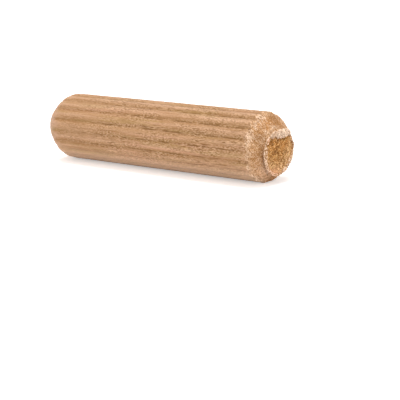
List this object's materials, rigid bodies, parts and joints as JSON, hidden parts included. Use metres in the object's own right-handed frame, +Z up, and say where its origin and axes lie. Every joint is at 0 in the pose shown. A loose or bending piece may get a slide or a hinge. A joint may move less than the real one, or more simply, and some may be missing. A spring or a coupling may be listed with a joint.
{
  "type": "fluted dowel pin",
  "caption": "Round wooden pin with straight flutes pressed along it and coned ends, one clean and one torn by the saw, for glued joints in furniture.",
  "frame": {"origin": "on the surface that the pin rests on, under the middle of its length", "axes": "+X along the pin's axis towards the torn end, +Z up from the surface; a flute faces straight down and the pin rests on the two ridges beside it"},
  "size_m": [0.035, 0.008, 0.008],
  "materials": {
    "wood": "raw, pressed smooth along the ridges and rough on the torn end"
  },
  "bodies": {
    "root": {"dowel_pin": "wood"}
  },
  "joints": []
}
